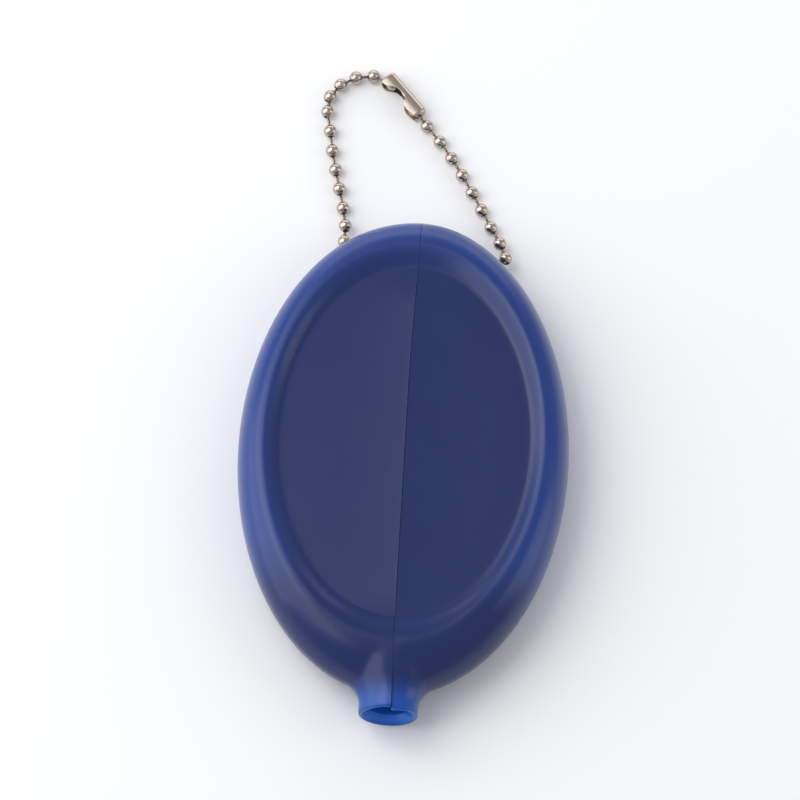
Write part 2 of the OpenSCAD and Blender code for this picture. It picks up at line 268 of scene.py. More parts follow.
def colour_and_painted_light_group(name):
    """Body colour, lighter where light comes through: in the hollow rim and most of all in the thin neck.
    These lighter colours are painted light, and so is the bright colour of the bore inside the mouth.
    """
    inputs = {label: ("Color", (0.02, 0.05, 0.2, 1.0)) for label in ("Body", "Rim", "Thin", "Bore painted light")}
    inputs["Face middle"] = ("Vector", (0.0, -0.01287, 0.0))
    tree, enter, leave = group(name, inputs, "Colour", "Color")
    link = tree.links.new
    place = add(tree, "ShaderNodeTexCoord").outputs["Object"]
    split = add(tree, "ShaderNodeSeparateXYZ")
    link(place, split.inputs[0])
    along = split.outputs["Y"]

    def ramp(source, low, high):
        node = add(tree, "ShaderNodeMapRange", interpolation_type="SMOOTHSTEP", From_Min=low, From_Max=high)
        link(source, node.inputs["Value"])
        return node.outputs["Result"]

    def mixed(factor, one, two):
        node = add(tree, "ShaderNodeMix", data_type="RGBA")
        for source, label in ((factor, "Factor"), (one, "A"), (two, "B")):
            link(source, node.inputs[label])
        return node.outputs["Result"]

    # The rim lies outside the crest's oval, and fades into the body towards the neck
    away = maths(tree, "VectorMath", "SUBTRACT", place, enter.outputs["Face middle"])
    oval = maths(tree, "VectorMath", "DIVIDE", away, (FACE_A * MM, FACE_B * MM, 1.0))
    ring = maths(tree, "VectorMath", "LENGTH", oval)
    rim = maths(tree, "Math", "MULTIPLY", ramp(ring, 0.86, 1.1), ramp(along, -0.046, -0.032))
    # Painted light: the bore, what lies nearer the neck's line than the middle of its wall, gets a bright
    # colour for the light that comes through the neck
    off = maths(tree, "VectorMath", "SUBTRACT", place, (0.0, 0.0, MID_Z * MM))
    flat = maths(tree, "VectorMath", "MULTIPLY", off, (1.0, 0.0, 1.0))
    radius = maths(tree, "VectorMath", "LENGTH", flat)
    painted_bore_light = maths(tree, "Math", "MULTIPLY", ramp(radius, 0.0049, 0.0042), ramp(along, -0.054, -0.060))
    outside = mixed(rim, enter.outputs["Body"], enter.outputs["Rim"])
    outside = mixed(ramp(along, -0.0572, -0.0628), outside, enter.outputs["Thin"])
    cloud = add(tree, "ShaderNodeTexNoise", Scale=60.0, Detail=3.0)
    shade = add(tree, "ShaderNodeMapRange", To_Min=0.88, To_Max=1.12)
    tone = add(tree, "ShaderNodeVectorMath", operation="SCALE")
    link(place, cloud.inputs["Vector"])
    link(cloud.outputs["Fac"], shade.inputs["Value"])
    # The bore's painted light goes over the rest
    link(mixed(painted_bore_light, outside, enter.outputs["Bore painted light"]), tone.inputs[0])
    link(shade.outputs["Result"], tone.inputs["Scale"])
    link(tone.outputs[0], leave.inputs["Colour"])
    return tree


def wear_group(name):
    """Faint wipes and specks: a roughness to use as it is."""
    inputs = {"Base": ("Float", 0.3), "Spread": ("Float", 0.1), "Scale": ("Float", 300.0)}
    tree, enter, leave = group(name, inputs, "Roughness", "Float")
    link = tree.links.new
    noise = add(tree, "ShaderNodeTexNoise", Detail=5.0)
    link(add(tree, "ShaderNodeTexCoord").outputs["Object"], noise.inputs["Vector"])
    link(enter.outputs["Scale"], noise.inputs["Scale"])
    swing = maths(tree, "Math", "SUBTRACT", noise.outputs["Fac"], 0.5)
    swing = maths(tree, "Math", "MULTIPLY", swing, enter.outputs["Spread"])
    total = maths(tree, "Math", "ADD", swing, enter.outputs["Base"], use_clamp=True)
    link(total, leave.inputs["Roughness"])
    return tree


def principled(name, **constants):
    material = bpy.data.materials.new(name)
    material.use_nodes = True
    shader = material.node_tree.nodes["Principled BSDF"]
    for key, value in constants.items():
        shader.inputs[key.replace("_", " ")].default_value = value
    return material, shader


def use_group(material, name, build, **values):
    """Places the shared group of that name, which is built the first time that a material uses it."""
    node = material.node_tree.nodes.new("ShaderNodeGroup")
    node.node_tree = bpy.data.node_groups.get(name) or build(name)
    for key, value in values.items():
        node.inputs[key.replace("_", " ")].default_value = value
    return node


def finish_surface(material, shader, wear, grain, strength):
    """Gives a material its wear as roughness and its grain as bump."""
    link = material.node_tree.links.new
    worn = use_group(material, "Handling wear", wear_group, **wear)
    height = use_group(material, "Moulded grain", grain_group, **grain)
    bump = add(material.node_tree, "ShaderNodeBump", Strength=strength, Distance=1.0)
    link(worn.outputs["Roughness"], shader.inputs["Roughness"])
    link(height.outputs["Height"], bump.inputs["Height"])
    link(bump.outputs["Normal"], shader.inputs["Normal"])


def vinyl_material(s):
    material, shader = principled(
        "Vinyl",
        Sheen_Weight=0.12,
        Sheen_Roughness=0.35,
        Coat_Weight=0.35,
        Coat_Roughness=0.2,
        Coat_IOR=1.5,
        IOR=1.45,
        Specular_IOR_Level=0.25,
    )
    # The rim's, the neck's and the bore's colours are painted light that comes through the vinyl
    colours = {"Body": s.colour, "Rim": s.rim, "Thin": s.glow, "Bore painted light": s.painted_bore_light}
    colours = {label: (*colour, 1) for label, colour in colours.items()}
    colour_and_painted_light = use_group(material, "Vinyl colour and painted light", colour_and_painted_light_group, **colours)
    material.node_tree.links.new(colour_and_painted_light.outputs["Colour"], shader.inputs["Base Color"])
    wear = {"Base": s.gloss, "Spread": 0.12, "Scale": 260.0}
    finish_surface(material, shader, wear, {"Waves": 0.45, "Grain": 1.0, "Hairlines": 1.0}, strength=1.0)
    return material


def nickel_material(s, name="Nickel", tone=1.0):
    """The plating. tone darkens it for the wire, which the beads shade."""
    if name in bpy.data.materials:
        return bpy.data.materials[name]
    material, shader = principled(name, Metallic=1.0, Base_Color=(*[c * tone for c in s.colour], 1))
    wear = {"Base": 0.17, "Spread": 0.16, "Scale": 900.0}
    finish_surface(material, shader, wear, {"Waves": 0.0, "Grain": 0.8, "Hairlines": 1.5}, strength=0.6)
    return material


# ---- the moulded shell ----

# All lengths here are in millimetres. The oval body: half width, half length, height of its widest line
HALF_W, HALF_LEN, MID_Z = 30.0, 45.5, 7.0
# The crest round the face: half axes, how far its middle lies towards the chain, depth of the face below it
FACE_A, FACE_B, FACE_RISE, FACE_SINK = 25.5, 38.2, 1.2, 1.2
# The face's flat part, as a share of the crest's oval
WINDOW = 1 - 2.9 / FACE_A
# The neck: outer radius, reach past the oval, radius of its flare
NECK_R, NECK_REACH, NECK_FILLET = 5.4, 4.2, 4.5
MOUTH_Y = -HALF_LEN - NECK_REACH
FACE_FOOT = FACE_RISE - FACE_B
# Points nearer than this are one point
SAME = 1e-4
# Height at which the slit ends on the far rim
SLIT_END = 9.5
# The chain's holes: radius, distance from the middle, how deep the rim's skin is searched, facets
HOLE_R, HOLE_X, HOLE_REACH, HOLE_STEPS = 1.5, 14.0, 4.0, 48
# The mouth's rounded lip and its cone: inset from the outside, depth behind the mouth
MOUTH_LIP = [(0, 0.5), (0.03, 0.3), (0.12, 0.12), (0.28, 0.02), (0.5, 0.0)]
MOUTH_LIP += [(0.7, 0.08), (0.95, 0.45), (1.2, 1.0), (1.5, 1.7)]
NECK_ROWS, RIM_ROWS, SLOPE_ROWS, FACE_ROWS, BACK_ROWS = 4, 26, 10, 34, 10
# How much lower the right lip lies on the face, and how much further out at the mouth
RIGHT_DROP, RIGHT_REACH = 0.08, 0.35
# Degrees at which the lips' rounding has a row
LIP_TURNS = (30, 60, 90)
# How the lips' turn fades from the slit's middle: per mm across, and from each place along it, per mm along
FADE_ACROSS = 1.2 / 22.0
FADE_BANDS = [(0.0, 0.0), (4.0, 0.009), (8.0, 0.0174), (12.0, 0.0269), (16.0, 0.0372)]
FADE_BANDS += [(20.0, 0.0484), (24.0, 0.06), (28.0, 0.0707), (31.0, 0.081)]
# Levels of that fade at which a flap turns fully and not at all
FADE_FULL, FADE_NONE = -0.15, -1.15
SIDES = {-1: "left", 1: "right"}


def oval_point(t):
    return np.array([HALF_W * math.sin(t), -HALF_LEN * math.cos(t)])


def oval_slope(t):
    return np.array([math.sin(t) / HALF_W, -math.cos(t) / HALF_LEN])


def ray_to_face(p, n, reach, share=1.0):
    a, b = FACE_A * share, FACE_B * share
    q, d = p - np.array([0, FACE_RISE]), -n
    qa = (d[0] / a) ** 2 + (d[1] / b) ** 2
    qb = 2 * (q[0] * d[0] / a**2 + q[1] * d[1] / b**2)
    disc = qb * qb - 4 * qa * ((q[0] / a) ** 2 + (q[1] / b) ** 2 - 1)
    return reach if disc < 0 else min(reach, (-qb - math.sqrt(disc)) / (2 * qa))


def outline():
    """Stations round the right half, from the mouth to the chain end: point, outward normal, reach.

    Also gives the number of the first station past the face's foot, and where the neck's flare begins.
    """
    reach = NECK_R + NECK_FILLET
    touch = halve(0, 1, lambda t: oval_point(t)[0] + NECK_FILLET * unit(oval_slope(t))[0] > reach)
    centre = oval_point(touch) + NECK_FILLET * unit(oval_slope(touch))
    touch_turn = math.asin(-unit(oval_slope(touch))[1])
    foot_turn = math.atan((FACE_FOOT - centre[1]) / centre[0])

    def fillet(turn):
        n = np.array([math.cos(turn), -math.sin(turn)])
        p = centre - NECK_FILLET * n
        return p, n, p[0] / n[0]

    def oval(t):
        return oval_point(t), unit(oval_slope(t)), HALF_W**2 * np.linalg.norm(oval_slope(t))

    def crest_angle(t):
        p, n, reach = oval(t)
        e = p - ray_to_face(p, n, reach) * n
        return math.atan2(e[0] / FACE_A, (FACE_RISE - e[1]) / FACE_B)

    side = halve(touch, math.pi, lambda t: crest_angle(t) > math.pi / 2)
    neck = np.linspace(MOUTH_Y, centre[1], NECK_ROWS + 1)[:-1]
    stations = [(np.array([NECK_R, y]), np.array([1.0, 0.0]), NECK_R) for y in neck]
    stations += [fillet(t) for t in np.linspace(0, foot_turn, 23)[:-1]]
    foot = len(stations)
    stations += [fillet(t) for t in np.linspace(foot_turn, touch_turn, 13)[:-1]]
    stations += [oval(t) for t in np.linspace(touch, side, 111)[:-1]]
    stations += [oval(t) for t in np.linspace(side, math.pi, 121)]
    return stations, foot, centre[1]


def joined(points):
    """Points at the same place count once: the first of each, and for every point its place in that list."""
    keys = np.round(points / SAME).astype(np.int64)
    _, first, back = np.unique(keys, axis=0, return_index=True, return_inverse=True)
    return first, back.reshape(-1)


class Skin:
    """Collects grids of points as quads, each with the name of its piece."""

    def __init__(self):
        self.points, self.faces, self.tags, self.count = [], [], [], 0

    def grid(self, points, flip, tag):
        n, m = points.shape[:2]
        ids = np.arange(n * m).reshape(n, m) + self.count
        self.points.append(points.reshape(-1, 3))
        self.count += n * m
        for i in range(n - 1):
            for k in range(m - 1):
                quad = [ids[i, k], ids[i, k + 1], ids[i + 1, k + 1], ids[i + 1, k]]
                self.faces.append(quad[::-1] if flip else quad)
                self.tags.append(tag(i, k) if callable(tag) else tag)
        return ids

    def merged(self):
        points = np.concatenate(self.points)
        first, back = joined(points)
        faces, tags = [], []
        for face, tag in zip(self.faces, self.tags):
            own = list(dict.fromkeys(int(back[i]) for i in face))
            if len(own) > 2:
                faces.append(own)
                tags.append(tag)
        return points[first], faces, tags


def relax(grids, weight, rounds=30):
    """Evens out neighbouring grids together. Points on the slit count their neighbours on both sides."""
    count = [g.shape[0] * g.shape[1] for g in grids]
    points = np.concatenate([g.reshape(-1, 3) for g in grids])
    first, back = joined(points)
    pairs, start = [], 0
    for g, n in zip(grids, count):
        ids = back[np.arange(start, start + n)].reshape(g.shape[:2])
        pairs.append(np.stack([ids[1:].ravel(), ids[:-1].ravel()], 1))
        pairs.append(np.stack([ids[:, 1:].ravel(), ids[:, :-1].ravel()], 1))
        start += n
    pairs = np.unique(np.sort(np.concatenate(pairs), axis=1), axis=0)
    pairs = pairs[pairs[:, 0] != pairs[:, 1]]
    own = points[first]
    on_slit = own[:, 0] < 0.1
    pairs = np.concatenate([pairs, pairs[:, ::-1]])
    share = np.where(on_slit[pairs[:, 0]] & ~on_slit[pairs[:, 1]], 2.0, 1.0)
    total = np.bincount(pairs[:, 0], share, len(own))
    w = 0.5 * weight(own)
    w = np.stack([w * ~on_slit, w, w], 1)
    for _ in range(rounds):
        sums = [np.bincount(pairs[:, 0], share * own[pairs[:, 1], a], len(own)) for a in range(3)]
        own = own + w * (np.stack(sums, 1) / total[:, None] - own)
    points = own[back]
    ends = np.cumsum([0] + count)
    return [points[a:b].reshape(g.shape) for a, b, g in zip(ends[:-1], ends[1:], grids)]


def near_neck(points):
    """Where the face's foot and the neck's flare run together."""
    x, y, z = points.T
    return smooth((-30.0 - y) / 5.0) * smooth((z - 7.5) / 2.5) * (1 - smooth((-45.8 - y) / 1.6))


def vertex_normals(points, faces):
    normals = np.zeros_like(points)
    for face in faces:
        p = points[face]
        normals[face] += sum(np.cross(p[i] - p[0], p[i + 1] - p[0]) for i in range(1, len(face) - 1))
    length = np.linalg.norm(normals, axis=1)
    length[length == 0] = 1
    return normals / length[:, None]


def half_shell(skin, side, s):
    """Adds one half of the shell. side is 1 for the right half and -1 for the left one."""
    gap, edge, wall = s.lip_gap / MM, s.lip_round / MM, s.wall / MM
    stations, foot, flare_y = outline()
    place, normal, reach = (np.array(column) for column in zip(*stations))
    to_crest = np.array([ray_to_face(*station) for station in stations])
    axis_y = place[:, 1] - normal[:, 1] * reach
    share = smooth((FACE_FOOT - axis_y) / (FACE_FOOT - flare_y))
    crest = MID_Z + (NECK_R - MID_Z) * share
    turn = np.linspace(0, math.pi / 2, RIM_ROWS + 1)
    flip = side < 0

    def opened(points):
        """Draws the front back from the slit by the gap and the lip's rounding."""
        out = points.copy()
        free = smooth((out[..., 2] - SLIT_END) / 1.0)
        out[..., 0] += (gap + edge) * (1 - out[..., 0] / HALF_W) * free
        return out

    def placed(points):
        out = shaped(points, side, s)
        out[..., 0] *= side
        out[..., 0] += wander(out)
        return out

    def inwards(way, z):
        xy = place[:, None] - way[..., None] * normal[:, None]
        return np.concatenate([xy, z[..., None]], axis=2)

    def rim(inset, up):
        way = inset + (to_crest[:, None] - inset) * (1 - np.cos(turn))
        return inwards(way, MID_Z + up * (crest[:, None] - inset) * np.sin(turn))

    def back(inset):
        way = to_crest[:, None] + (reach - to_crest)[:, None] * np.linspace(0, 1, BACK_ROWS + 1)
        return inwards(way, MID_Z - (crest[:, None] - inset) * np.ones_like(way))

    e = place - to_crest[:, None] * normal
    phi = np.arctan2(np.maximum(e[:, 0], 0) / FACE_A, (FACE_RISE - e[:, 1]) / FACE_B)[foot:]
    phi[0], phi[-1] = 0.0, math.pi

    def slope(drop):
        rho = 1 - (1 - WINDOW) * np.linspace(0, 1, SLOPE_ROWS + 1)
        x = FACE_A * rho * np.sin(phi)[:, None]
        y = FACE_RISE - FACE_B * rho * np.cos(phi)[:, None]
        z = 2 * MID_Z - drop - FACE_SINK * smooth((1 - rho) / (1 - WINDOW)) * np.ones_like(x)
        return np.stack([x, y, z], axis=2)

    def face(drop):
        step = 1 - (1 - np.linspace(0, 1, FACE_ROWS + 1)) ** 1.35
        x = FACE_A * WINDOW * np.sin(phi)[:, None] * (1 - step)
        y = FACE_RISE - FACE_B * WINDOW * np.cos(phi)[:, None] * np.ones_like(x)
        z = (2 * MID_Z - drop - FACE_SINK) * np.ones_like(x)
        return np.stack([x, y, z], axis=2)

    rows_y = -FACE_B * WINDOW * np.cos(phi)
    edges = []
    for way in (-1, 1):
        edges.append([rows_y[np.argmin(np.abs(rows_y - way * start))] * way for start, _ in FADE_BANDS])

    def face_tag(i, k):
        """The band of the face that row i lies in: negative towards the mouth, 0 round the middle."""
        y = (rows_y[i] + rows_y[min(i + 1, len(rows_y) - 1)]) / 2
        band = sum(abs(y) > e for e in edges[1 if y > 0 else 0][1:])
        return band if y > 0 else -band

    ids = {}
    for layer, inset in (("out", 0.0), ("in", wall)):
        turned = flip != (layer == "in")
        front, rear, flat = rim(inset, 1), rim(inset, -1), back(inset)
        depth = MOUTH_LIP[-1 if layer == "in" else 0][1]
        for grid in (front, rear, flat):
            grid[:NECK_ROWS, :, 1] = np.linspace(MOUTH_Y + depth, flare_y, NECK_ROWS + 1)[:-1, None]
        grids = [opened(grid) for grid in (front, slope(inset), face(inset))]
        front, descent, middle_face = relax(grids, near_neck)
        ids[layer, "rim"] = skin.grid(placed(front), not turned, "body")
        skin.grid(placed(rear), turned, "body")
        skin.grid(placed(flat), turned, "body")
        ids[layer, "slope"] = skin.grid(placed(descent), not turned, "body")
        ids[layer, "face"] = skin.grid(placed(middle_face), not turned, face_tag)

    # The mouth's lip, from the outer skin round to the inner one
    ring_turn = np.concatenate([turn[::-1], -turn[1:]])
    rings = []
    for inset, depth in MOUTH_LIP:
        r, y = NECK_R - inset, np.full_like(ring_turn, MOUTH_Y + depth)
        rings.append(np.stack([r * np.cos(ring_turn), y, MID_Z + r * np.sin(ring_turn)], axis=1))
    rings = np.array(rings)
    rings[:, : RIM_ROWS + 1] = opened(rings[:, : RIM_ROWS + 1])
    mouth_ids = skin.grid(placed(rings), not flip, "body")

    # The slit's lips, from the mouth along the outer skin's edge to the far rim, and along the inner skin's
    end = int(np.argmax(MID_Z + crest[-1] * np.sin(turn) > SLIT_END)) - 1
    runs = []
    for layer in ("out", "in"):
        r, d, f = (ids[layer, part] for part in ("rim", "slope", "face"))
        run = [*r[: foot + 1, -1], *d[0, 1:], *f[1:, -1]]
        run += [*d[-1, ::-1][1:], *r[-1, ::-1][1 : RIM_ROWS + 1 - end]]
        runs.append(np.concatenate(skin.points)[run])
    tags = ["body"] * (foot + SLOPE_ROWS) + [face_tag(max(j, 1), 0) for j in range(len(rows_y))]
    tags += ["body"] * (len(run) - len(tags))
    strip = skin.grid(lip_rows(*runs, side, gap + edge, edge), flip, lambda i, k: tags[i])
    corner = [int(i) for i in mouth_ids[:, 0]] + [int(i) for i in strip[0, 1:-1][::-1]]
    skin.faces.append(corner if flip else corner[::-1])
    skin.tags.append("body")
    return edges


def lip_rows(outer, inner, side, room, edge):
    """Rows of a lip: rounded over from the outer skin, straight through the wall, rounded again."""
    through = inner - outer
    through[:, 0] = 0
    through /= np.maximum(np.linalg.norm(through, axis=1), 1e-6)[:, None]
    rows = []
    for points, way in ((outer, 1), (inner, -1)):
        free = np.clip(np.abs(points[:, 0]) / room, 0, 1)
        bend = [points]
        for a in np.radians(LIP_TURNS):
            moved = points + way * through * (edge * (1 - math.cos(a)) * free)[:, None]
            moved[:, 0] -= side * edge * math.sin(a) * free
            bend.append(moved)
        rows += bend[::way]
    return np.stack(rows, axis=1)


def shaped(points, side, s):
    """Small departures of the soft moulding from its plain form. x is the distance from the slit."""
    out = points.copy()
    x, y, z = points[..., 0], points[..., 1], points[..., 2]
    front = smooth((z - 9.0) / 1.5)
    ring = np.sqrt((x / FACE_A) ** 2 + ((y - FACE_RISE) / FACE_B) ** 2)
    within = smooth((1 - ring) / 0.3) * front
    rise = s.left_proud / MM - (RIGHT_DROP if side > 0 else 0.0)
    out[..., 2] += within * rise * np.exp(-x / 8.0)
    neck = smooth((-42.0 - y) / 5.0) * front * np.exp(-((x / 3.2) ** 2))
    if side > 0:
        out[..., 2] -= s.right_tuck / MM * neck
        out[..., 1] -= RIGHT_REACH * neck * smooth((-47.0 - y) / 2.0)
    return out


def wander(points):
    """How far the hand-cut slit strays to the right of its line."""
    x, y, z = points[..., 0], points[..., 1], points[..., 2]
    stray = 0.15 + 0.6 * smooth((y - 12.0) / 34.0) + 0.3 * smooth((-36.0 - y) / 14.0)
    return stray * np.exp(-((x / 9.0) ** 2)) * smooth((z - 7.5) / 3.0)


def cut_chain_holes(points, faces, tags, body_y):
    """Opens a round hole through the rim at each hole bead and lines it with a short tube."""
    points = [np.array(p) for p in points]
    up = np.array([0, 0, 1.0])
    for side, node in ((-1, "bead_14"), (1, "bead_22")):
        bead = bead_centre(node) / MM - np.array([0, body_y, 0])
        slope = oval_slope(math.pi - math.asin(HOLE_X / HALF_W))
        out = unit([side * slope[0], slope[1], 0.0])
        across = np.cross(up, out)
        away = np.array(points) - bead
        along = away @ out
        off = away - along[:, None] * out
        radius = np.linalg.norm(off, axis=1)
        near = (np.abs(along) < HOLE_REACH) & (radius < HOLE_R)
        kept = [k for k, face in enumerate(faces) if not all(near[i] for i in face)]
        faces, tags = [faces[k] for k in kept], [tags[k] for k in kept]
        edge = {i for face in faces for i in face if near[i]}
        for i in edge:
            points[i] = points[i] + off[i] / radius[i] * (HOLE_R - radius[i])
        normals = vertex_normals(np.array(points), faces)

        def angle(i):
            d = points[i] - bead
            return math.atan2(d @ up, d @ across)

        turns = [-math.pi + 2 * math.pi * q / HOLE_STEPS for q in range(HOLE_STEPS)]
        start = len(points)
        for outside in (True, False):
            ring = sorted((i for i in edge if (normals[i] @ out > 0) == outside), key=angle)
            if not ring:
                raise RuntimeError(f"the hole at {node} misses the rim's skin")
            depths = [(points[i] - bead) @ out for i in ring]
            depths = np.interp(turns, [angle(i) for i in ring], depths, period=2 * math.pi)
            for a, depth in zip(turns, depths):
                points.append(bead + out * depth + HOLE_R * (math.sin(a) * up + math.cos(a) * across))
        for q in range(HOLE_STEPS):
            one, two = start + q, start + (q + 1) % HOLE_STEPS
            faces.append([one + HOLE_STEPS, two + HOLE_STEPS, two, one])
            tags.append("body")
    return np.array(points), faces, tags


def fade_line(band, starts):
    """A band's fade per mm along, and its level at the middle, so that it runs on from the last band's."""
    level = 0.0
    for k in range(1, band + 1):
        level -= FADE_BANDS[k - 1][1] * (starts[k] - starts[k - 1])
    fade = FADE_BANDS[band][1]
    return fade, level + fade * starts[band]


def build_shell(s):
    body_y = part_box("purse_shell")[0].y / MM - MOUTH_Y
    skin = Skin()
    edges = [half_shell(skin, side, s) for side in (1, -1)][0]
    points, faces, tags = skin.merged()
    points, faces, tags = cut_chain_holes(points, faces, tags, body_y)
    normals = vertex_normals(points, faces)
    points = (points + np.array([0, body_y, 0])) * MM
    material = vinyl_material(s)
    pieces = {}
    for face, tag in zip(faces, tags):
        side = 0 if tag == "body" else int(np.sign(points[face, 0].mean()))
        pieces.setdefault((side, tag), []).append(face)
    made = {}
    for (side, tag), own in pieces.items():
        used = sorted({i for f in own for i in f})
        where = {i: j for j, i in enumerate(used)}
        faces = [[where[i] for i in f] for f in own]
        name = f"face_{SIDES[side]}_{tag + len(FADE_BANDS)}" if side else "shell_body"
        made[side, tag] = new_object(name, points[used], faces, normals[used], material)
    body = made.pop((0, "body"))
    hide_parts("purse_shell")
    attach(body, "shell")
    middle = Vector((0.0, body_y + FACE_RISE, 0.0)) * MM
    for (side, band), obj in made.items():
        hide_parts(f"{SIDES[side]}_face_half")
        fade, level = fade_line(abs(band), edges[1 if band > 0 else 0])
        way = Vector((-side * FADE_ACROSS, -fade * np.sign(band), 0.0)) / MM
        start = middle + way * ((FADE_NONE - level) / way.length_squared)
        end = middle + way * ((FADE_FULL - level) / way.length_squared)
        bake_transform(obj, "shell", f"{SIDES[side]}_lip", start=start, end=end)


# ---- the chain ----

# A bead, in metres: its sheet, the radius of its holes and the radius at which its sphere is cut for them
BEAD_SHEET, BEAD_HOLE, BEAD_CUT = 0.00018, 0.00054, 0.00066
# The rolled edge of a hole: radius, and height above the cut
BEAD_CURL = [(0.00064, 0.00006), (0.00061, 0.00009), (0.00057, 0.00009)]
BEAD_CURL += [(BEAD_HOLE, 0.00005), (BEAD_HOLE, -0.00004), (BEAD_HOLE + 0.00001, -0.00012)]
SEAM_DEGREES = 2.0
# A point of a CAD bead further from its middle than this is on the outer sphere
BEAD_SKIN = 0.00112
# How far a link may lean in a bead's hole: one that moves with the bead, and one that folds against it
ROOM_FIXED, ROOM_FOLDING = math.radians(17), math.radians(6)


def bead_centre(node):
    """Centre of a bead: the sphere through its outer points, without its holes' edges and inner skin."""
    co = np.array([v.co for v in frame["nodes"][node].data.vertices], float)
    lo, hi = co.min(0), co.max(0)
    middle = (lo + hi) / 2
    for _ in range(3):
        own = co[np.linalg.norm(co - middle, axis=1) > BEAD_SKIN]
        a = np.concatenate([2 * own, np.ones((len(own), 1))], axis=1)
        middle = np.linalg.lstsq(a, (own**2).sum(1), rcond=None)[0][:3]
    return middle


def bead_prototype(s):
    """One bead about Z: a thin turned shell with rolled holes at its poles and a seam down one side."""
    r, inside = s.bead_radius, s.bead_radius - BEAD_SHEET
    cut = math.asin(BEAD_CUT / r)
    profile = [(r * math.sin(a), r * math.cos(a), 1) for a in np.linspace(cut, math.pi - cut, 27)]
    top = r * math.cos(cut)
    curl = [(x, top + z, 0) for x, z in BEAD_CURL]
    start = math.asin((BEAD_HOLE + 0.00005) / inside)
    turns = np.linspace(math.pi - start, start, 13)
    inner = [(inside * math.sin(a), inside * math.cos(a), 0) for a in turns]
    ring = profile + [(x, -z, 0) for x, z, _ in curl] + inner + curl[::-1]
    angles = sorted({-7, -4.5, -2.6, -1.3, 0, 1.3, 2.6, 4.5, 7} | set(np.linspace(12, 348, 36)))
    verts, faces = [], []
    for a in angles:
        c, d = math.cos(math.radians(a)), math.sin(math.radians(a))
        away = abs((a + 180) % 360 - 180)
        groove = s.seam * math.exp(-((away / SEAM_DEGREES) ** 2))
        for x, z, seamed in ring:
            k = 1 - groove * seamed / r
            verts.append((x * k * c, x * k * d, z * k))
    m = len(ring)
    for i in range(len(angles)):
        j = (i + 1) % len(angles)
        for k in range(m):
            w = (k + 1) % m
            faces.append((i * m + k, i * m + w, j * m + w, j * m + k))
    return new_object("bead_prototype", verts, faces)


def link_prototype():
    """One link along Z: a wire that flares into a flat head at each end."""
    top, half, wire, head = 0.001305, 0.001225, 0.00018, 0.00055
    upper = [(head * 0.8, half + 0.00007), (head, half), (head * 0.85, half - 0.00009)]
    upper += [(wire * 1.4, half - 0.00016), (wire, half - 0.00032)]
    upper += [(wire, 0.00036), (wire * 1.4, 0.00026), (wire * 1.4, 0.00015)]
    profile = upper + [(x, -z) for x, z in upper[::-1]]
    turns, m = 24, len(profile)
    verts = [(0.0, 0.0, top), (0.0, 0.0, -top)]
    faces = []
    for q in range(turns):
        a = 2 * math.pi * q / turns
        verts += [(x * math.cos(a), x * math.sin(a), z) for x, z in profile]
        one, two = 2 + q * m, 2 + (q + 1) % turns * m
        faces.append((0, one, two))
        faces += [(one + k, one + k + 1, two + k + 1, two + k) for k in range(m - 1)]
        faces.append((one + m - 1, 1, two + m - 1))
    return new_object("link_prototype", verts, faces)


def chain_tree():
    """Sets a bead or a link at every point, aimed along its attribute and spun about its own line."""
    tree = bpy.data.node_groups.new("Ball chain", "GeometryNodeTree")
    kinds = {"Geometry": "Geometry", "Bead": "Object", "Link": "Object", "Seed": "Int"}
    kinds.update({"Metal": "Material", "Link metal": "Material"})
    sockets = {label: new_socket(tree, label, kind, "INPUT").identifier for label, kind in kinds.items()}
    new_socket(tree, "Geometry", "Geometry", "OUTPUT")
    link = tree.links.new
    enter, leave = tree.nodes.new("NodeGroupInput"), tree.nodes.new("NodeGroupOutput")
    aim = add(tree, "GeometryNodeInputNamedAttribute", data_type="FLOAT_VECTOR", Name="aim")
    kind = add(tree, "GeometryNodeInputNamedAttribute", data_type="FLOAT", Name="kind")
    align = add(tree, "FunctionNodeAlignRotationToVector", axis="Z")
    spin = add(tree, "FunctionNodeRandomValue", data_type="FLOAT")
    spin.inputs[2].default_value, spin.inputs[3].default_value = 0.0, 2 * math.pi
    about = add(tree, "FunctionNodeAxisAngleToRotation")
    about.inputs["Axis"].default_value = (0, 0, 1)
    turned = add(tree, "FunctionNodeRotateRotation", rotation_space="LOCAL")
    is_link = add(tree, "FunctionNodeCompare", data_type="FLOAT", operation="GREATER_THAN")
    is_link.inputs[1].default_value = 0.5
    is_bead = add(tree, "FunctionNodeBooleanMath", operation="NOT")
    join = tree.nodes.new("GeometryNodeJoinGeometry")
    link(aim.outputs[0], align.inputs["Vector"])
    link(enter.outputs["Seed"], spin.inputs["Seed"])
    link(spin.outputs[1], about.inputs["Angle"])
    link(align.outputs[0], turned.inputs[0])
    link(about.outputs[0], turned.inputs[1])
    link(kind.outputs[0], is_link.inputs[0])
    link(is_link.outputs[0], is_bead.inputs[0])
    for label, chosen, metal in (("Bead", is_bead, "Metal"), ("Link", is_link, "Link metal")):
        paint = tree.nodes.new("GeometryNodeSetMaterial")
        info = tree.nodes.new("GeometryNodeObjectInfo")
        place = tree.nodes.new("GeometryNodeInstanceOnPoints")
        link(enter.outputs[label], info.inputs["Object"])
        link(enter.outputs["Geometry"], place.inputs["Points"])
        link(chosen.outputs[0], place.inputs["Selection"])
        link(info.outputs["Geometry"], place.inputs["Instance"])
        link(turned.outputs[0], place.inputs["Rotation"])
        real = tree.nodes.new("GeometryNodeRealizeInstances")
        link(place.outputs[0], real.inputs[0])
        link(real.outputs[0], paint.inputs["Geometry"])
        link(enter.outputs[metal], paint.inputs["Material"])
        link(paint.outputs[0], join.inputs[0])
    link(join.outputs[0], leave.inputs[0])
    return tree, sockets


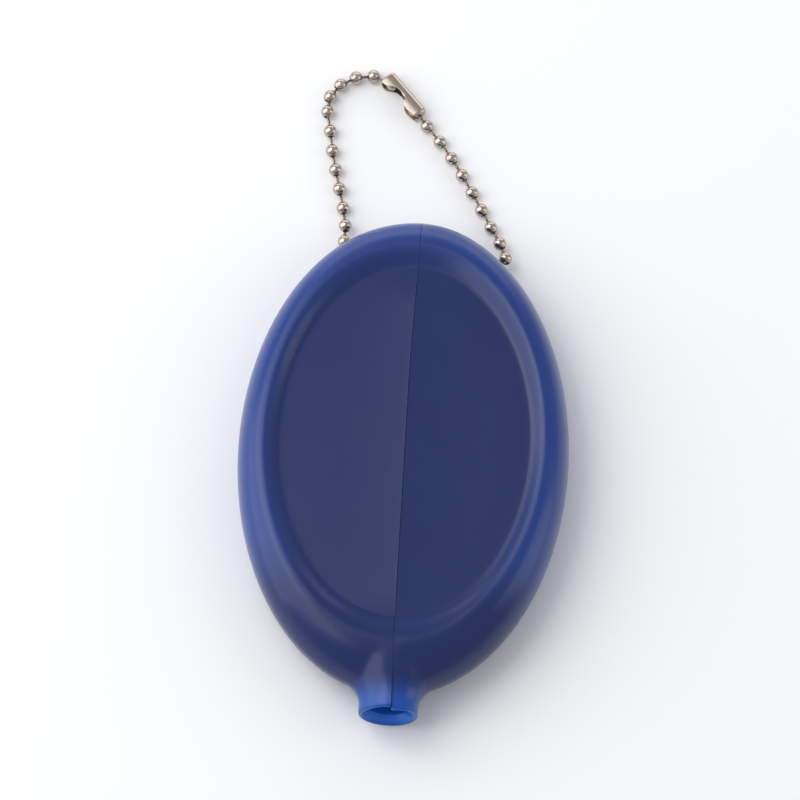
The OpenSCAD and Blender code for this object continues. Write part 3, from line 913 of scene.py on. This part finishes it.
def applied(obj, name):
    """A plain mesh object of what obj's modifiers make."""
    view = bpy.context.evaluated_depsgraph_get()
    view.update()
    mesh = bpy.data.meshes.new_from_object(obj.evaluated_get(view), depsgraph=view)
    for attribute in list(mesh.attributes):
        if attribute.name in ("aim", "kind"):
            mesh.attributes.remove(attribute)
    mesh.name = name
    made = bpy.data.objects.new(name, mesh)
    bpy.context.scene.collection.objects.link(made)
    bpy.data.objects.remove(obj)
    return made


def chain_points(centres, bodies):
    """For each body: place, aim and kind (0 bead, 1 link) of its beads and links."""
    count = len(centres)
    clasp_way = centres[0] - centres[-1]
    line = [centres[0] - clasp_way] + centres + [centres[-1] + clasp_way]
    points = {}
    for k in range(1, count + 1):
        own = bodies[f"bead_{k:02d}"]
        ways = [unit(line[k] - line[k - 1]), unit(line[k + 1] - line[k])]
        folds = [0 < j < count and link_body(j, bodies) != own for j in (k - 1, k)]
        bend = math.acos(min(1.0, float(ways[0] @ ways[1])))
        # A link that folds against the bead is given the room of the hole before one that moves with it
        tilt = min(max(bend - ROOM_FIXED, 0.0), ROOM_FOLDING) if any(folds) else bend / 2
        near, far = ways if folds[0] or not any(folds) else ways[::-1]
        aim = math.sin(bend - tilt) * near + math.sin(tilt) * far if bend > 1e-3 else near + far
        points.setdefault(own, []).append((line[k], aim, 0.0))
    for k in range(1, count):
        way = centres[k] - centres[k - 1]
        points.setdefault(link_body(k, bodies), []).append(((centres[k] + centres[k - 1]) / 2, way, 1.0))
    return points


def build_chain(s):
    centres = [bead_centre(f"bead_{k:02d}") for k in range(1, 33)]
    groups = frame["record"]["behaviour"]["bodies"]
    points = chain_points(centres, {node: body for body, nodes in groups.items() for node in nodes})
    tree, sockets = chain_tree()
    bead, link = bead_prototype(s), link_prototype()
    inputs = {"Bead": bead, "Link": link, "Seed": s.seed, "Metal": nickel_material(s)}
    inputs["Link metal"] = nickel_material(s, "Link nickel", tone=0.42)
    for body, rows in sorted(points.items()):
        cloud = new_object(f"{body}_points", [r[0] for r in rows], [])
        aim = cloud.data.attributes.new("aim", "FLOAT_VECTOR", "POINT")
        aim.data.foreach_set("vector", np.concatenate([unit(r[1]) for r in rows]))
        kind = cloud.data.attributes.new("kind", "FLOAT", "POINT")
        kind.data.foreach_set("value", [r[2] for r in rows])
        modifier = cloud.modifiers.new("Ball chain", "NODES")
        modifier.node_group = tree
        for label, value in inputs.items():
            modifier[sockets[label]] = value
        obj = applied(cloud, "chain_in_purse" if body == "shell" else f"{body}_chain")
        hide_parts(*[n for n in groups[body] if n.startswith(("bead_", "links_"))])
        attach(obj, body)
    for prototype in (bead, link):
        bpy.data.objects.remove(prototype)


def link_body(k, bodies):
    """The body that link k, from bead k to the next, belongs to."""
    if 14 <= k < 22:
        return bodies["links_in_purse"]
    if 5 <= k < 14:
        return bodies[f"links_tier_{14 - k:02d}"]
    if 22 <= k < 31:
        return bodies[f"links_tier_{k - 21:02d}"]
    return bodies["links_at_clasp"]


# ---- the clasp ----

# In millimetres: slot that the chain leaves by, length, rounding of its ends, inset of the edge there
CLASP_SLOT, CLASP_LENGTH, CLASP_CORNER, CLASP_INSET = 0.42, 9.7, 0.45, 0.25
# Where the walls turn into the spine, as a share of its depth, and the power of the spine's squarish oval
CLASP_CROWN, SQUARE = 0.2, 2.5
# Width of the walls from the spine's edge, at places along it towards its left end
CLASP_EDGE = [(-4.85, 2.45), (-4.35, 2.68), (-2.6, 2.95), (-1.6, 2.74), (-1.05, 2.2), (-0.45, 1.58)]
CLASP_EDGE += [(0.6, 1.5), (1.9, 1.74), (2.7, 2.4), (3.2, 2.9), (3.75, 3.08), (4.4, 3.02), (4.85, 2.6)]


def clasp_fold(edge, tall):
    """One section of the clasp, y and z: in from the open edge, round the spine and out again."""
    wall = np.linspace(edge, -CLASP_CROWN * tall, 15)
    begin = math.pi / 2 + math.asin(CLASP_CROWN ** (SQUARE / 2))
    arc = np.linspace(begin, 2 * math.pi - begin, 31)[1:-1]
    round_y = -tall * np.abs(np.cos(arc)) ** (2 / SQUARE)
    round_z = tall * np.sign(np.sin(arc)) * np.abs(np.sin(arc)) ** (2 / SQUARE)
    bent = tall * (1 - np.maximum(1 - np.abs(wall / tall) ** SQUARE, 0) ** (1 / SQUARE))
    wall_z = tall - np.where(wall > 0, 0.1 * (wall / tall) ** 2, bent)
    return np.concatenate([wall, round_y, wall[::-1]]), np.concatenate([wall_z, round_z, -wall_z[::-1]])


def clasp_corner(base, side, half):
    """The rows that close one end: a rounded corner, then straight in to the slot for the chain."""
    inner_y, inner_z = clasp_fold(0, CLASP_SLOT)
    turns = [math.radians(a) for a in (20, 40, 60, 80, 90)]
    steps = [(math.sin(a), CLASP_CORNER * (1 - math.cos(a)) / (half - CLASP_SLOT)) for a in turns]
    steps += [(1.0, 0.6), (1.0, 0.8), (1.0, 1.0)]
    edge = base[0, 1]
    open_side = np.clip(base[:, 1] / max(edge, 1e-6), 0, 1) * (inner_y >= -1e-6)
    rows = []
    for out, share in steps:
        row = base.copy()
        row[:, 0] += side * CLASP_CORNER * out
        row[:, 1] += (inner_y - base[:, 1]) * share
        row[:, 1] += (edge - CLASP_INSET - inner_y) * share * open_side
        row[:, 2] += (inner_z - base[:, 2]) * share
        rows.append(row)
    return rows


def build_clasp(s):
    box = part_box("chain_clasp")
    ends = bead_centre("bead_01"), bead_centre("bead_32")
    half = (box[1].z - box[0].z) / 2 / MM
    along = np.linspace(-CLASP_LENGTH / 2, CLASP_LENGTH / 2, 121)
    width = np.interp(along, *np.array(CLASP_EDGE).T)
    for _ in range(8):
        width[1:-1] = (width[:-2] + width[1:-1] * 2 + width[2:]) / 4
    rows = []
    for x, w in zip(along, width):
        if abs(x) <= CLASP_LENGTH / 2 - CLASP_CORNER:
            y, z = clasp_fold(w - half, half)
            rows.append(np.stack([np.full_like(y, x), y, z], axis=1))
    rows = clasp_corner(rows[0], -1, half)[::-1] + rows + clasp_corner(rows[-1], 1, half)
    skin = Skin()
    skin.grid(np.array(rows), False, "sheet")
    sheet = new_object("clasp_skin", skin.points[0], skin.faces)
    thick = sheet.modifiers.new("Sheet", "SOLIDIFY")
    thick.thickness, thick.offset = s.sheet / MM, -1
    soft = sheet.modifiers.new("Edges", "BEVEL")
    soft.width, soft.segments, soft.limit_method = 0.05, 2, "ANGLE"
    soft.angle_limit = math.radians(50)
    obj = applied(sheet, "clasp_sheet")
    middle = (Vector(ends[0]) + Vector(ends[1])) / 2
    turn = math.atan2(ends[0][1] - ends[1][1], ends[0][0] - ends[1][0])
    obj.data.transform(Matrix.Translation(middle) @ Matrix.Rotation(turn, 4, "Z") @ Matrix.Scale(MM, 4))
    obj.data.polygons.foreach_set("use_smooth", [True] * len(obj.data.polygons))
    obj.data.set_sharp_from_angle(angle=math.radians(38))
    obj.data.materials.clear()
    obj.data.materials.append(nickel_material(s))
    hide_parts("chain_clasp")
    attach(obj, "clasp_end")


# ---- the stage ----

# The table reaches this far from the middle, just below the purse. The camera looks at a place in it
TABLE_HALF, TABLE_Z = 0.9, -2e-5
CAMERA_TARGET = (-0.00124, -0.00261, 0.007)


def area_light(name, place, size, power):
    """A soft panel that faces the origin."""
    data = bpy.data.lights.new(name, "AREA")
    data.shape, data.size, data.size_y, data.energy = "RECTANGLE", *size, power
    obj = bpy.data.objects.new(name, data)
    obj.location = place
    obj.rotation_mode = "QUATERNION"
    obj.rotation_quaternion = (-Vector(place)).to_track_quat("-Z", "Y")
    bpy.context.scene.collection.objects.link(obj)


def build_stage(s):
    scene = bpy.context.scene
    floor_material, _ = principled("Table", Base_Color=(0.93, 0.93, 0.93, 1), Roughness=0.8)
    corners = [(-1, -1), (1, -1), (1, 1), (-1, 1)]
    corners = [(x * TABLE_HALF, y * TABLE_HALF, TABLE_Z) for x, y in corners]
    new_object("table", corners, [(0, 1, 2, 3)], material=floor_material)
    world = bpy.data.worlds.new("Studio")
    world.use_nodes = True
    world.node_tree.nodes["Background"].inputs["Color"].default_value = (0.93, 0.95, 1.0, 1)
    world.node_tree.nodes["Background"].inputs["Strength"].default_value = 0.52
    scene.world = world
    area_light("key", (-0.62, 0.0, 0.38), (0.66, 1.3), s.key * 1.3)
    area_light("sky", (-0.46, 0.34, 0.84), (0.55, 0.9), s.fill)
    area_light("right", (0.85, 0.0, 0.22), (0.35, 1.2), s.fill * 0.75)
    area_light("far", (0.0, 0.8, 0.24), (1.1, 0.4), s.fill * 0.8)
    back = Vector((0.0, -math.cos(s.elevation), math.sin(s.elevation)))
    right, up = Vector((1, 0, 0)), Vector((0, math.sin(s.elevation), math.cos(s.elevation)))
    c, d = math.cos(s.roll), math.sin(s.roll)
    axes = [right * c + up * d, up * c - right * d, back]
    lens = bpy.data.cameras.new("camera")
    lens.sensor_width = 36
    lens.lens = lens.sensor_width * s.distance / s.span
    lens.clip_start, lens.clip_end = 0.01, 10
    camera = bpy.data.objects.new("camera", lens)
    turn = Matrix([[axes[j][i] for j in range(3)] for i in range(3)])
    camera.matrix_world = Matrix.Translation(Vector(CAMERA_TARGET) + back * s.distance) @ turn.to_4x4()
    scene.collection.objects.link(camera)
    scene.camera = camera
    scene.view_settings.view_transform = "Standard"


# ---- operators and panel ----


class COINPURSE_OT_shell(bpy.types.Operator):
    """Builds the moulded shell with its two face halves"""

    bl_idname = "coinpurse.shell"
    bl_label = "Shell"

    def execute(self, context):
        build_shell(context.scene.coinpurse_shell)
        return {"FINISHED"}


class COINPURSE_OT_chain(bpy.types.Operator):
    """Builds the ball chain, body by body"""

    bl_idname = "coinpurse.chain"
    bl_label = "Chain"

    def execute(self, context):
        build_chain(context.scene.coinpurse_chain)
        return {"FINISHED"}


class COINPURSE_OT_clasp(bpy.types.Operator):
    """Builds the folded clasp"""

    bl_idname = "coinpurse.clasp"
    bl_label = "Clasp"

    def execute(self, context):
        build_clasp(context.scene.coinpurse_chain)
        return {"FINISHED"}


class COINPURSE_OT_stage(bpy.types.Operator):
    """Sets the table, the lights and the camera"""

    bl_idname = "coinpurse.stage"
    bl_label = "Stage"

    def execute(self, context):
        build_stage(context.scene.coinpurse_stage)
        return {"FINISHED"}


class COINPURSE_PT_panel(bpy.types.Panel):
    """Lists the builders and their settings"""

    bl_idname = "COINPURSE_PT_panel"
    bl_label = "Coin purse"
    bl_space_type = "VIEW_3D"
    bl_region_type = "UI"
    bl_category = "Coin purse"

    def draw(self, context):
        for settings, operators in (
            ("coinpurse_shell", ("coinpurse.shell",)),
            ("coinpurse_chain", ("coinpurse.chain", "coinpurse.clasp")),
            ("coinpurse_stage", ("coinpurse.stage",)),
        ):
            box = self.layout.box()
            group_of = getattr(context.scene, settings)
            for name in group_of.bl_rna.properties.keys():
                if name not in ("rna_type", "name"):
                    box.prop(group_of, name)
            for operator in operators:
                box.operator(operator)


CLASSES = (
    ShellSettings,
    ChainSettings,
    StageSettings,
    COINPURSE_OT_shell,
    COINPURSE_OT_chain,
    COINPURSE_OT_clasp,
    COINPURSE_OT_stage,
    COINPURSE_PT_panel,
)


def register():
    for cls in CLASSES:
        bpy.utils.register_class(cls)
    bpy.types.Scene.coinpurse_shell = PointerProperty(type=ShellSettings)
    bpy.types.Scene.coinpurse_chain = PointerProperty(type=ChainSettings)
    bpy.types.Scene.coinpurse_stage = PointerProperty(type=StageSettings)


def unregister():
    for name in ("coinpurse_shell", "coinpurse_chain", "coinpurse_stage"):
        delattr(bpy.types.Scene, name)
    for cls in reversed(CLASSES):
        bpy.utils.unregister_class(cls)


def main():
    register()
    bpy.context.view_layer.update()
    bpy.ops.coinpurse.shell()
    bpy.ops.coinpurse.chain()
    bpy.ops.coinpurse.clasp()
    bpy.ops.coinpurse.stage()


if __name__ == "__main__":
    main()
